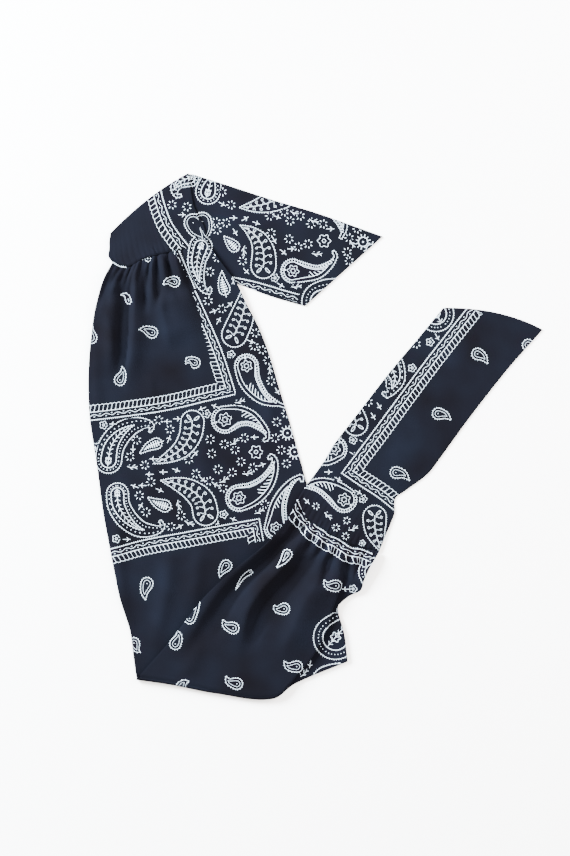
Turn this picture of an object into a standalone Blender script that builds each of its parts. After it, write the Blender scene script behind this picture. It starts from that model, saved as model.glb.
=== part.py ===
"""Cloth headband: a wide jersey band gathered onto a tie at each end, folded and lying on a table.

Units are metres, +Z up. Seen from above, +X is right and +Y is away from the viewer.
"""
from collections import namedtuple
import math

import bmesh
import bpy
from mathutils import Matrix, Vector

# Driving dimensions of the sewn piece.
BAND_WIDTH = 0.182          # flat width of the wide middle panel
GATHERED_WIDTH = 0.088      # width of each end of the panel once it is gathered onto its tie
TIE_WIDTH = 0.082           # flat width of the ties
WALL = 0.0012               # both jersey layers pressed together
CLEARANCE = 0.0003          # room between layers that lie on each other and pieces that meet
LAYER = WALL + CLEARANCE
SEAM_GAP = 2 * CLEARANCE    # from a gathered end of the panel to its tie

# How it lies: lengths of cloth between seams and folds, and the way each stretch points.
LOWER_RUN = 0.3886          # panel, from the first gathered seam to the bottom fold
UPPER_RUN = 0.1592          # panel, from the bottom fold to the second gathered seam
TIE_RISE = 0.0457           # folded tie, from its seam up to its fold
TIE_TAIL = 0.1860           # folded tie, from its fold to its free end
TIE_LENGTH = 0.2350         # straight tie, from its seam to its free end
LOWER_HEADING = math.radians(-78.9)
UPPER_HEADING = math.radians(56.9)
TAIL_HEADING = math.radians(-19.1)
TIE_HEADING = math.radians(53.5)

# Relief of the cloth.
GATHER_HEIGHT = 0.0042      # how far the gathers stand up beside their seam
TIE_PUFF = 0.0018           # how far a tie bellies up beside its seam
WAVE_HEIGHT = 0.0016        # the soft waves left in the flat cloth

# Facets: how many columns and rows each piece has, with the rows closer beside seams and folds.
BAND_COLUMNS = 34
TIE_COLUMNS = 10
FOLD_STEPS = 4
LOWER_STATIONS = [
    0.0, 0.012, 0.025, 0.04, 0.06, 0.085, 0.11, 0.14, 0.18, 0.22, 0.27, 0.32, 0.38, 0.45, 0.52,
    0.60, 0.68, 0.75, 0.80, 0.85, 0.90, 0.95, 1.0,
]
UPPER_STATIONS = [
    0.0, 0.06, 0.12, 0.19, 0.26, 0.33, 0.40, 0.46, 0.52, 0.57, 0.62, 0.67, 0.72, 0.77, 0.82,
    0.87, 0.91, 0.94, 0.97, 1.0,
]
RISE_STATIONS = [0.0, 0.12, 0.25, 0.4, 0.55, 0.7, 0.85, 1.0]
TAIL_STATIONS = [0.0, 0.06, 0.14, 0.24, 0.36, 0.48, 0.6, 0.72, 0.84, 0.92, 1.0]
TIE_STATIONS = [
    0.0, 0.03, 0.06, 0.1, 0.14, 0.18, 0.21, 0.25, 0.31, 0.38, 0.48, 0.6, 0.7, 0.8, 0.9, 1.0,
]

# The panel's lower run. Along is a share of LOWER_RUN. The open columns say how far each edge has
# spread, from the gathered width at 0 to the full width at 1. Levels count cloth layers underneath.
LowerSection = namedtuple("LowerSection", "along left_open right_open left_level right_level gather")
LOWER_SECTIONS = (
    LowerSection(0.000, 0.000, 0.000, 1.10, 1.25, 0.35),
    LowerSection(0.030, 0.206, 0.107, 0.80, 1.20, 1.00),
    LowerSection(0.060, 0.355, 0.223, 0.45, 1.15, 0.90),
    LowerSection(0.110, 0.545, 0.415, 0.15, 1.10, 0.72),
    LowerSection(0.150, 0.660, 0.495, 0.00, 0.80, 0.60),
    LowerSection(0.220, 0.830, 0.660, 0.00, 0.10, 0.38),
    LowerSection(0.290, 0.955, 0.757, 0.00, 0.00, 0.20),
    LowerSection(0.360, 1.030, 0.810, 0.00, 0.00, 0.08),
    LowerSection(0.450, 1.060, 0.890, 0.00, 0.00, 0.00),
    LowerSection(0.600, 1.125, 0.981, 0.00, 0.00, 0.00),
    LowerSection(0.760, 1.125, 1.045, 0.00, 0.00, 0.00),
    LowerSection(0.880, 1.050, 1.090, 0.00, 0.00, 0.00),
    LowerSection(0.940, 1.080, 1.115, 0.00, 0.00, 0.00),
    LowerSection(1.000, 1.105, 1.100, 0.00, 0.00, 0.00),
)

# The bottom fold. Across is a share of the panel's width, along a share of LOWER_RUN.
# Its lowest point is the corner, from which a pleat runs up the upper run.
FoldPoint = namedtuple("FoldPoint", "across along")
FOLD_LINE = (
    FoldPoint(0.00, 0.968),
    FoldPoint(0.16, 0.996),
    FoldPoint(0.35, 1.034),
    FoldPoint(0.62, 1.073),
    FoldPoint(0.73, 1.049),
    FoldPoint(1.00, 1.021),
)
LOWER_SAG_REACH = 0.10      # shares of each stretch over which its sections straighten out
UPPER_SAG_REACH = 0.35
RISE_SAG_REACH = 0.60
TIE_SAG_REACH = 0.20
FOLD_BLEND = 0.25           # share of the upper run over which its sections leave the fold line
FOLD_BEND_FROM = 0.70       # share of LOWER_RUN from which the sections bend to the fold line
CORNER = 0.66               # share of the panel's width at which the pleat runs
PLEAT_STEP = 0.04           # share of the panel's width taken by the step down off the pleat

# The panel's upper run, from the bottom fold (0) to the second seam (1). Along columns are shares
# of UPPER_RUN, open columns as above, and corner_across is a share of BAND_WIDTH.
UpperSection = namedtuple(
    "UpperSection",
    "at left_along left_open corner_along corner_across right_along right_open "
    "left_level corner_level right_level gather",
)
UPPER_SECTIONS = (
    UpperSection(0.00, -0.360, 0.687, 0.012, 0.245, 0.390, 0.635, 2.30, 2.45, 1.30, 0.30),
    UpperSection(0.20, -0.080, 0.573, 0.257, 0.245, 0.503, 0.300, 1.75, 2.45, 1.25, 0.42),
    UpperSection(0.40, 0.211, 0.495, 0.446, 0.237, 0.589, -0.030, 1.60, 2.20, 1.20, 0.55),
    UpperSection(0.52, 0.390, 0.370, 0.560, 0.205, 0.620, -0.090, 1.60, 1.80, 1.20, 0.65),
    UpperSection(0.62, 0.550, 0.200, 0.660, 0.182, 0.695, -0.020, 1.60, 1.55, 1.10, 0.75),
    UpperSection(0.72, 0.680, 0.055, 0.760, 0.155, 0.765, 0.110, 1.60, 1.40, 0.95, 0.85),
    UpperSection(0.80, 0.790, -0.010, 0.815, 0.125, 0.815, 0.060, 1.55, 1.30, 0.85, 1.00),
    UpperSection(0.90, 0.897, -0.040, 0.915, 0.098, 0.915, 0.010, 1.45, 1.20, 0.80, 1.00),
    UpperSection(1.00, 1.000, 0.000, 1.000, 0.082, 1.000, 0.000, 1.35, 1.15, 0.80, 0.35),
)

# Gathers: the valleys between the pleats. Positions across are shares of the panel's width, at the
# seam, halfway down the valley and at its end. Reach is the share of the run that it crosses.
Valley = namedtuple("Valley", "at_seam halfway at_end reach width depth")
FIRST_GATHER = (
    Valley(0.07, 0.06, 0.05, 0.10, 0.030, 0.80),
    Valley(0.17, 0.19, 0.22, 0.45, 0.034, 1.00),
    Valley(0.31, 0.33, 0.34, 0.16, 0.030, 0.85),
    Valley(0.39, 0.41, 0.43, 0.12, 0.024, 0.75),
    Valley(0.47, 0.50, 0.52, 0.22, 0.030, 0.85),
    Valley(0.57, 0.58, 0.60, 0.14, 0.028, 0.75),
    Valley(0.72, 0.70, 0.69, 0.42, 0.036, 0.95),
    Valley(0.86, 0.87, 0.88, 0.16, 0.030, 0.70),
)
SECOND_GATHER = (
    Valley(0.10, 0.11, 0.12, 0.22, 0.030, 0.75),
    Valley(0.22, 0.09, 0.24, 1.00, 0.042, 1.00),
    Valley(0.33, 0.32, 0.31, 0.25, 0.028, 0.80),
    Valley(0.50, 0.37, 0.43, 0.90, 0.042, 1.00),
    Valley(0.62, 0.55, 0.50, 0.40, 0.030, 0.80),
    Valley(0.74, 0.75, 0.76, 0.22, 0.028, 0.70),
    Valley(0.87, 0.88, 0.88, 0.25, 0.030, 0.75),
)

# Soft waves in the flat cloth, as raised ridges. Shares of LOWER_RUN and of the panel's width.
Wave = namedtuple("Wave", "along across length width height")
WAVES = (
    Wave(0.42, 0.06, 0.16, 0.10, 0.70),
    Wave(0.50, 0.93, 0.22, 0.09, 0.80),
    Wave(0.80, 0.12, 0.09, 0.08, 0.90),
    Wave(0.90, 0.07, 0.06, 0.10, 1.00),
)

# How far the gathered seams hang towards the panel, as shares of GATHERED_WIDTH.
SeamPoint = namedtuple("SeamPoint", "across first second")
SEAM_SAG = (
    SeamPoint(0.00, 0.000, 0.000),
    SeamPoint(0.08, 0.050, 0.065),
    SeamPoint(0.17, 0.072, 0.100),
    SeamPoint(0.30, 0.030, 0.125),
    SeamPoint(0.50, 0.010, 0.120),
    SeamPoint(0.70, 0.006, 0.095),
    SeamPoint(0.85, 0.003, 0.050),
    SeamPoint(1.00, 0.000, 0.000),
)

# The ties. Along is a share of the stretch's length, lead is how far the right end of the section
# runs ahead of the left one and bow how far its middle does. Edges, leads and bows are shares of
# TIE_WIDTH, the edges from the stretch's middle line.
TieSection = namedtuple("TieSection", "along lead bow left right left_level right_level puff")
TIE_RISE_SECTIONS = (
    TieSection(0.00, 0.00, 0.00, -0.500, 0.500, 1.25, 1.30, 1.00),
    TieSection(0.25, 0.10, 0.00, -0.545, 0.505, 1.25, 1.30, 0.90),
    TieSection(0.60, 0.28, 0.02, -0.540, 0.460, 1.25, 1.30, 0.60),
    TieSection(1.00, 0.49, 0.05, -0.505, 0.475, 1.25, 1.30, 0.00),
)
TIE_TAIL_SECTIONS = (
    TieSection(0.00, 0.64, 0.00, -0.460, 0.460, 0.00, 0.00, 0.00),
    TieSection(0.20, 0.45, 0.00, -0.475, 0.470, 0.00, 0.00, 0.00),
    TieSection(0.50, 0.15, 0.00, -0.515, 0.480, 0.00, 0.00, 0.20),
    TieSection(0.75, 0.30, 0.00, -0.535, 0.505, 0.00, 0.00, 0.30),
    TieSection(1.00, 0.56, 0.00, -0.515, 0.497, 0.00, 0.00, 0.00),
)
STRAIGHT_TIE_SECTIONS = (
    TieSection(0.00, 0.00, 0.00, -0.500, 0.500, 1.35, 0.80, 1.00),
    TieSection(0.06, 0.06, 0.00, -0.520, 0.462, 1.25, 0.40, 0.90),
    TieSection(0.14, 0.12, 0.00, -0.540, 0.420, 0.70, 0.10, 0.70),
    TieSection(0.21, 0.06, 0.00, -0.560, 0.330, 0.25, 0.00, 0.55),
    TieSection(0.25, 0.05, 0.00, -0.575, 0.365, 0.05, 0.00, 0.45),
    TieSection(0.38, 0.08, 0.00, -0.568, 0.465, 0.00, 0.00, 0.30),
    TieSection(0.60, 0.10, 0.00, -0.555, 0.460, 0.00, 0.00, 0.15),
    TieSection(0.80, 0.25, 0.02, -0.525, 0.475, 0.00, 0.00, 0.10),
    TieSection(1.00, 0.44, 0.07, -0.505, 0.500, 0.00, 0.00, 0.00),
)


def smooth(table, key, column, at):
    """Reads a table's column at a place between its rows, along a smooth curve through them."""
    rows = [(getattr(row, key), getattr(row, column)) for row in table]
    at = min(max(at, rows[0][0]), rows[-1][0])
    index = max(i for i in range(len(rows) - 1) if rows[i][0] <= at + 1e-9)
    (x0, y0), (x1, y1) = rows[index], rows[index + 1]
    step = x1 - x0

    def slope(i):
        if i == 0 or i == len(rows) - 1:
            return (y1 - y0) / step
        before = (rows[i][1] - rows[i - 1][1]) / (rows[i][0] - rows[i - 1][0])
        after = (rows[i + 1][1] - rows[i][1]) / (rows[i + 1][0] - rows[i][0])
        if before * after <= 0:
            return 0.0
        return 2 * before * after / (before + after)

    f = (at - x0) / step
    rise = f * f * (3 - 2 * f)
    return (
        y0 + (y1 - y0) * rise
        + slope(index) * step * f * (1 - f) ** 2
        - slope(index + 1) * step * f * f * (1 - f)
    )


def ramp(low, high, value):
    """Goes smoothly from 0 at low to 1 at high."""
    f = min(max((value - low) / (high - low), 0.0), 1.0)
    return f * f * (3 - 2 * f)


class Run:
    """A stretch of cloth that points one way on the table: its start, its heading and its side.

    A run that is sewn to another one starts along that one's side, and turns to its own.
    """

    def __init__(self, start, heading, right_side, sewn_to=None):
        self.start = start
        self.ahead = Vector((math.cos(heading), math.sin(heading)))
        self.side = Vector((-self.ahead.y, self.ahead.x)) * right_side
        self.seam_side = sewn_to.side if sewn_to else self.side

    def point(self, along, across, turned=1.0):
        return self.start + self.ahead * along + self.seam_side.lerp(self.side, turned) * across


LOWER = Run(Vector((0.0, 0.0)), LOWER_HEADING, 1)
UPPER = Run(LOWER.point(LOWER_RUN, 0.0), UPPER_HEADING, -1)
RISE = Run(LOWER.start, LOWER_HEADING + math.pi, -1, sewn_to=LOWER)
TAIL = Run(RISE.point(TIE_RISE, 0.0), TAIL_HEADING, 1)
TIE = Run(UPPER.point(UPPER_RUN, 0.0), TIE_HEADING, -1, sewn_to=UPPER)


def opened(share):
    """Half of the panel's width where the gathers have opened by a share."""
    return (GATHERED_WIDTH + (BAND_WIDTH - GATHERED_WIDTH) * share) / 2


def sag(seam, across):
    """How far a gathered seam hangs towards the panel at a share of its width."""
    return GATHERED_WIDTH * smooth(SEAM_SAG, "across", seam, across)


def gathers(valleys, from_seam, across):
    """Height of the pleats, as a share of the gather height, with the valleys cut into them."""
    height = 1.0
    for valley in valleys:
        f = from_seam / valley.reach
        if f >= 1.0:
            continue
        centre = (
            valley.at_seam * (1 - f) * (1 - 2 * f)
            + valley.halfway * 4 * f * (1 - f)
            + valley.at_end * f * (2 * f - 1)
        )
        offset = (across - centre) / (valley.width * (1 + f))
        height -= valley.depth * (1 - ramp(0.6, 1.0, f)) * math.exp(-offset * offset)
    return max(height, 0.0)


def waves(along, across):
    """Height of the soft waves in the flat cloth."""
    height = 0.0
    for wave in WAVES:
        reach = ((along - wave.along) / wave.length) ** 2 + ((across - wave.across) / wave.width) ** 2
        height += wave.height * max(0.0, 1 - reach) ** 2
    return WAVE_HEIGHT * height


def lower_point(at, across):
    """A point of the lower run's middle surface, at a share of its length and of its width."""
    def value(column):
        return smooth(LOWER_SECTIONS, "along", column, at)

    left, right = -opened(value("left_open")), opened(value("right_open"))
    bend = ramp(FOLD_BEND_FROM, 1.0, at) * (smooth(FOLD_LINE, "across", "along", across) - 1)
    hang = sag("first", across) * (1 - ramp(0.0, LOWER_SAG_REACH, at))
    plan = LOWER.point(at * (1 + bend) * LOWER_RUN + hang, left + (right - left) * across)
    level = value("left_level") + (value("right_level") - value("left_level")) * ramp(0.1, 0.9, across)
    relief = value("gather") * gathers(FIRST_GATHER, at, across) * (1 - 0.45 * ramp(0.6, 1.0, across))
    height = WALL / 2 + level * LAYER + relief * GATHER_HEIGHT + waves(at, across)
    return plan.to_3d() + Vector((0, 0, height))


def upper_plan(at, across):
    """Where the upper run's sections lie on the table, as drawn by their table."""
    def value(column):
        return smooth(UPPER_SECTIONS, "at", column, at)

    left = UPPER.point(value("left_along") * UPPER_RUN, -opened(value("left_open")))
    corner = UPPER.point(value("corner_along") * UPPER_RUN, value("corner_across") * BAND_WIDTH)
    right = UPPER.point(value("right_along") * UPPER_RUN, opened(value("right_open")))
    hang = UPPER.ahead * sag("second", across) * ramp(1 - UPPER_SAG_REACH, 1.0, at)
    if across <= CORNER:
        return left.lerp(corner, across / CORNER) - hang
    return corner.lerp(right, (across - CORNER) / (1 - CORNER)) - hang


def upper_point(at, across):
    """A point of the upper run's middle surface, with its pleat's step down to the right margin."""
    def value(column):
        return smooth(UPPER_SECTIONS, "at", column, at)

    from_fold = lower_point(1.0, across).xy - upper_plan(0.0, across)
    plan = upper_plan(at, across) + from_fold * (1 - ramp(0.0, FOLD_BLEND, at))
    inner = value("left_level") + (value("corner_level") - value("left_level")) * min(across / CORNER, 1)
    drop = ramp(CORNER, CORNER + PLEAT_STEP, across)
    level = inner + (value("right_level") - inner) * drop
    relief = value("gather") * gathers(SECOND_GATHER, 1 - at, across)
    relief *= 1 - drop * (1 - ramp(0.6, 0.9, at))
    return plan.to_3d() + Vector((0, 0, WALL / 2 + level * LAYER + relief * GATHER_HEIGHT))


def tie_point(run, sections, length, seam, reach, at, across):
    """A point of a tie's middle surface. A sewn end starts along the gathered panel's end."""
    def value(column):
        return smooth(sections, "along", column, at)

    crown = 1 - (2 * across - 1) ** 2
    width, start, hang, turned_to = TIE_WIDTH, 0.0, 0.0, 1.0
    if seam:
        turned_to = ramp(0.0, reach, at)
        width += (GATHERED_WIDTH - TIE_WIDTH) * (1 - turned_to)
        start = SEAM_GAP
        hang = sag(seam, across) * (1 - turned_to)
    along = start + at * (length - start) - hang
    along += TIE_WIDTH * (value("lead") * (across - 0.5) + value("bow") * crown)
    edge = value("left") + (value("right") - value("left")) * across
    plan = run.point(along, width * edge, turned_to)
    level = value("left_level") + (value("right_level") - value("left_level")) * across
    height = WALL / 2 + level * LAYER + value("puff") * TIE_PUFF * crown
    return plan.to_3d() + Vector((0, 0, height))


def turned(before, after, side, steps):
    """Rows of a soft round fold between two stacked rows of points, set back to end at their line."""
    count = len(before)
    rows = []
    outward = []
    for i in range(count):
        tangent = (after[min(i + 2, count - 1)] - after[max(i - 2, 0)]).xy.normalized()
        outward.append(Vector((tangent.y, -tangent.x, 0)) * side)
    for step in range(steps + 1):
        turn = math.pi * step / steps
        row = []
        for low, high, out in zip(before, after, outward):
            radius = (high.z - low.z) / 2
            reach = abs(radius) * (math.sin(turn) - 1)
            row.append(Vector((low.x, low.y, low.z + radius * (1 - math.cos(turn)))) + out * reach)
        rows.append(row)
    return rows


def band_rows(columns):
    """The whole panel's sections, from the first gathered seam over the fold to the second one."""
    across = [i / columns for i in range(columns + 1)]
    lower = [[lower_point(at, v) for v in across] for at in LOWER_STATIONS]
    upper = [[upper_point(at, v) for v in across] for at in UPPER_STATIONS]
    return lower[:-1] + turned(lower[-1], upper[0], 1, FOLD_STEPS) + upper[1:]


def folded_tie_rows(columns):
    """The folded tie's sections: up from the seam, back under itself and out to the free end."""
    across = [i / columns for i in range(columns + 1)]
    rise = [
        [tie_point(RISE, TIE_RISE_SECTIONS, TIE_RISE, "first", RISE_SAG_REACH, at, v) for v in across]
        for at in RISE_STATIONS
    ]
    tail = [
        [tie_point(TAIL, TIE_TAIL_SECTIONS, TIE_TAIL, None, 0.0, at, v) for v in across]
        for at in TAIL_STATIONS
    ]
    for high, low in zip(rise[-1], tail[0]):
        low.xy = high.xy
    return rise[:-1] + turned(rise[-1], tail[0], -1, FOLD_STEPS) + tail[1:]


def straight_tie_rows(columns):
    """The straight tie's sections, from its seam to its free end."""
    across = [i / columns for i in range(columns + 1)]
    return [
        [
            tie_point(TIE, STRAIGHT_TIE_SECTIONS, TIE_LENGTH, "second", TIE_SAG_REACH, at, v)
            for v in across
        ]
        for at in TIE_STATIONS
    ]


def cloth(name, rows, material, collection):
    """Makes a piece of cloth: a grid moved onto its sections and given the wall's thickness."""
    columns = len(rows[0])
    mesh = bpy.data.meshes.new(name)
    sheet = bmesh.new()
    bmesh.ops.create_grid(sheet, x_segments=columns - 1, y_segments=len(rows) - 1, size=0.5)
    for vertex in sheet.verts:
        column = round((vertex.co.x + 0.5) * (columns - 1))
        row = round((vertex.co.y + 0.5) * (len(rows) - 1))
        vertex.co = rows[row][column]
    sheet.to_mesh(mesh)
    sheet.free()
    mesh.shade_smooth()
    mesh.materials.append(material)
    piece = bpy.data.objects.new(name, mesh)
    collection.objects.link(piece)
    wall = piece.modifiers.new("wall", "SOLIDIFY")
    wall.thickness = WALL
    wall.offset = 0.0
    return piece


def jersey():
    """Black cotton jersey: matt, with a blue cast."""
    material = bpy.data.materials.new("black jersey")
    material.use_nodes = True
    shader = material.node_tree.nodes["Principled BSDF"]
    shader.inputs["Base Color"].default_value = (0.018, 0.021, 0.034, 1.0)
    shader.inputs["Roughness"].default_value = 0.9
    shader.inputs["Metallic"].default_value = 0.0
    return material


def centre_on_table(pieces):
    """Moves the pieces so that the middle of the box around them is the origin, on the table."""
    bpy.context.view_layer.update()
    depsgraph = bpy.context.evaluated_depsgraph_get()
    corners = [Vector(c) for piece in pieces for c in piece.evaluated_get(depsgraph).bound_box]
    middle_x = (min(c.x for c in corners) + max(c.x for c in corners)) / 2
    middle_y = (min(c.y for c in corners) + max(c.y for c in corners)) / 2
    for piece in pieces:
        piece.data.transform(Matrix.Translation((-middle_x, -middle_y, 0)))


for old in list(bpy.data.objects):
    bpy.data.objects.remove(old, do_unlink=True)

headband = bpy.data.collections.new("cloth_headband")
bpy.context.scene.collection.children.link(headband)
fabric = jersey()
centre_on_table((
    cloth("head_band", band_rows(BAND_COLUMNS), fabric, headband),
    cloth("folded_tie", folded_tie_rows(TIE_COLUMNS), fabric, headband),
    cloth("straight_tie", straight_tie_rows(TIE_COLUMNS), fabric, headband),
))
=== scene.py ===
"""A cloth headband of printed jersey, folded once and laid on a white table, with a tie at each end.

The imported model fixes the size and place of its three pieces. Each is drawn again here in fine cloth.
Lengths are metres and +Z is up. Places on the photograph are pixels of its 570 by 856 frame.
"""
from collections import namedtuple
import math

import bmesh
import bpy
import numpy as np
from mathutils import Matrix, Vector


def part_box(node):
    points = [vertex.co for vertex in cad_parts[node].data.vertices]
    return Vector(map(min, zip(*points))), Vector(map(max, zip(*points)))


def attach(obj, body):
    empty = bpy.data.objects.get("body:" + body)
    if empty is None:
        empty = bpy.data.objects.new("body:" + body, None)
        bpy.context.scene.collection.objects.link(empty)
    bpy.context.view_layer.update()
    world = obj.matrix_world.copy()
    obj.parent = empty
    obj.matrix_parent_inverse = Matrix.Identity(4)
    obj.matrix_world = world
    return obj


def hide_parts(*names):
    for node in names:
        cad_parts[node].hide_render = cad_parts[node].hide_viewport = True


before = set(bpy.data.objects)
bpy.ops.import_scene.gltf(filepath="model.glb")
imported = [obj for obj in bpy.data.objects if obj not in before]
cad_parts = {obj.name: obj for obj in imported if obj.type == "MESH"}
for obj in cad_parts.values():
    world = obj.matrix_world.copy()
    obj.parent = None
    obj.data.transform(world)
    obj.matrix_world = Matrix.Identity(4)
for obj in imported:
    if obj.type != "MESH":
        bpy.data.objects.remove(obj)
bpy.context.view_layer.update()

# The head band: one wide panel of soft cotton jersey, sewn as a flat tube and pressed. Both its ends
# are gathered to half its width and sewn onto the ties. It lies in one long run down the table, turns
# over at the bottom in a round fold, and comes back up over itself to its second seam.
BAND_WIDTH = 0.182          # flat width of the wide middle panel
GATHERED_WIDTH = 0.088      # width of each end of the panel once it is gathered onto its tie
TIE_WIDTH = 0.082           # flat width of the ties
WALL = 0.0012               # both jersey layers pressed together
CLEARANCE = 0.0003          # room between layers that lie on each other and pieces that meet
LAYER = WALL + CLEARANCE
LOWER_RUN = 0.3886          # panel, from the first gathered seam to the bottom fold
UPPER_RUN = 0.1592          # panel, from the bottom fold to the second gathered seam
TIE_RISE = 0.0457           # folded tie, from its seam up to its fold
TIE_TAIL = 0.1860           # folded tie, from its fold to its free end
TIE_LENGTH = 0.2350         # straight tie, from its seam to its free end
LOWER_HEADING = math.radians(-78.9)
UPPER_HEADING = math.radians(56.9)
TAIL_HEADING = math.radians(-19.1)
TIE_HEADING = math.radians(53.5)
GATHER_HEIGHT = 0.0042      # how far the gathers stand up beside their seam
PUCKER_HEIGHT = 0.0013      # the fine puckers between the gathers, right at the seam
PUCKER_REACH = 0.016
PUCKER_START = 0.0015       # over which the puckers rise from the seam
PUCKER_COUNT = 19.0         # puckers across a seam
HEM_ROUND = 0.0005          # how far the pressed edges are rounded
HEM_ANGLE = math.radians(50)    # edges that turn by less than this aren't hems
PIXEL = 0.00091             # metres of table seen in one pixel of the photograph
FIRST_SEAM_MIDDLE = (160.5, 253.0)

BAND_COLUMNS = 104
LOWER_ROWS = 205
UPPER_ROWS = 96
FOLD_STEPS = 10
FOLD_SPAN = 6               # columns to each side over which a fold's direction is measured

# Along is a share of LOWER_RUN. The open columns say how far each edge has spread, from the gathered
# width at 0 to the full width at 1. Levels count cloth layers underneath.
LowerSection = namedtuple("LowerSection", "along left_open right_open left_level right_level gather")
LOWER_SECTIONS = (
    LowerSection(0.000, 0.000, 0.000, 1.10, 1.25, 0.35),
    LowerSection(0.030, 0.206, 0.107, 0.80, 1.20, 1.00),
    LowerSection(0.060, 0.355, 0.223, 0.45, 1.15, 0.90),
    LowerSection(0.110, 0.545, 0.415, 0.15, 1.10, 0.72),
    LowerSection(0.150, 0.660, 0.495, 0.00, 0.80, 0.60),
    LowerSection(0.220, 0.830, 0.660, 0.00, 0.10, 0.38),
    LowerSection(0.290, 0.955, 0.757, 0.00, 0.00, 0.20),
    LowerSection(0.360, 1.030, 0.810, 0.00, 0.00, 0.08),
    LowerSection(0.450, 1.060, 0.890, 0.00, 0.00, 0.00),
    LowerSection(0.600, 1.125, 0.981, 0.00, 0.00, 0.00),
    LowerSection(0.760, 1.125, 1.045, 0.00, 0.00, 0.00),
    LowerSection(0.880, 1.050, 1.090, 0.00, 0.00, 0.00),
    LowerSection(0.940, 1.080, 1.115, 0.00, 0.00, 0.00),
    LowerSection(1.000, 1.105, 1.100, 0.00, 0.00, 0.00),
)

# The bottom fold. Across is a share of the panel's width, along a share of LOWER_RUN.
FoldPoint = namedtuple("FoldPoint", "across along")
FOLD_LINE = (
    FoldPoint(0.00, 0.968),
    FoldPoint(0.16, 0.996),
    FoldPoint(0.35, 1.034),
    FoldPoint(0.62, 1.073),
    FoldPoint(0.73, 1.049),
    FoldPoint(1.00, 1.021),
)
LOWER_SAG_REACH = 0.10      # shares of each stretch over which its sections straighten out
UPPER_SAG_REACH = 0.35
FOLD_BLEND = 0.25           # share of the upper run over which its sections leave the fold line
FOLD_BEND_FROM = 0.70       # share of LOWER_RUN from which the sections bend to the fold line
CORNER = 0.66               # share of the panel's width at which the pleat runs
PLEAT_STEP = 0.04           # share of the panel's width taken by the step down off the pleat

# The upper run, from the bottom fold (0) to the second seam (1). Along columns are shares of
# UPPER_RUN, open columns as above, and corner_across is a share of BAND_WIDTH.
UpperSection = namedtuple(
    "UpperSection",
    "at left_along left_open corner_along corner_across right_along right_open "
    "left_level corner_level right_level gather",
)
UPPER_SECTIONS = (
    UpperSection(0.00, -0.360, 0.687, 0.012, 0.245, 0.390, 0.635, 2.30, 2.45, 1.30, 0.30),
    UpperSection(0.20, -0.080, 0.573, 0.257, 0.245, 0.503, 0.300, 1.75, 2.45, 1.25, 0.42),
    UpperSection(0.40, 0.211, 0.495, 0.446, 0.237, 0.589, -0.030, 1.60, 2.20, 1.20, 0.55),
    UpperSection(0.52, 0.390, 0.370, 0.560, 0.205, 0.620, -0.090, 1.60, 1.80, 1.20, 0.65),
    UpperSection(0.62, 0.550, 0.200, 0.660, 0.182, 0.695, -0.020, 1.60, 1.55, 1.10, 0.75),
    UpperSection(0.72, 0.680, 0.055, 0.760, 0.155, 0.765, 0.110, 1.60, 1.40, 0.95, 0.85),
    UpperSection(0.80, 0.790, -0.010, 0.815, 0.125, 0.815, 0.060, 1.55, 1.30, 0.85, 1.00),
    UpperSection(0.90, 0.897, -0.040, 0.915, 0.098, 0.915, 0.010, 1.45, 1.20, 0.80, 1.00),
    UpperSection(1.00, 1.000, 0.000, 1.000, 0.082, 1.000, 0.000, 1.35, 1.15, 0.80, 0.35),
)

FLATTER_RIGHT = 0.45        # share of their height that the first gathers lose towards the right edge

# The valleys between the pleats of the gathers. Positions across are shares of the panel's width, at
# the seam, halfway down the valley and at its end. Reach is the share of the run that it crosses.
Valley = namedtuple("Valley", "at_seam halfway at_end reach width depth")
FIRST_GATHER = (
    Valley(0.07, 0.06, 0.05, 0.10, 0.030, 0.80),
    Valley(0.17, 0.19, 0.22, 0.45, 0.034, 1.00),
    Valley(0.31, 0.33, 0.34, 0.16, 0.030, 0.85),
    Valley(0.39, 0.41, 0.43, 0.12, 0.024, 0.75),
    Valley(0.47, 0.50, 0.52, 0.22, 0.030, 0.85),
    Valley(0.57, 0.58, 0.60, 0.14, 0.028, 0.75),
    Valley(0.72, 0.70, 0.69, 0.42, 0.036, 0.95),
    Valley(0.86, 0.87, 0.88, 0.16, 0.030, 0.70),
)
SECOND_GATHER = (
    Valley(0.10, 0.11, 0.12, 0.22, 0.030, 0.75),
    Valley(0.22, 0.09, 0.24, 1.00, 0.042, 1.00),
    Valley(0.33, 0.32, 0.31, 0.25, 0.028, 0.80),
    Valley(0.50, 0.37, 0.43, 0.90, 0.042, 1.00),
    Valley(0.62, 0.55, 0.50, 0.40, 0.030, 0.80),
    Valley(0.74, 0.75, 0.76, 0.22, 0.028, 0.70),
    Valley(0.87, 0.88, 0.88, 0.25, 0.030, 0.75),
)

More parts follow.
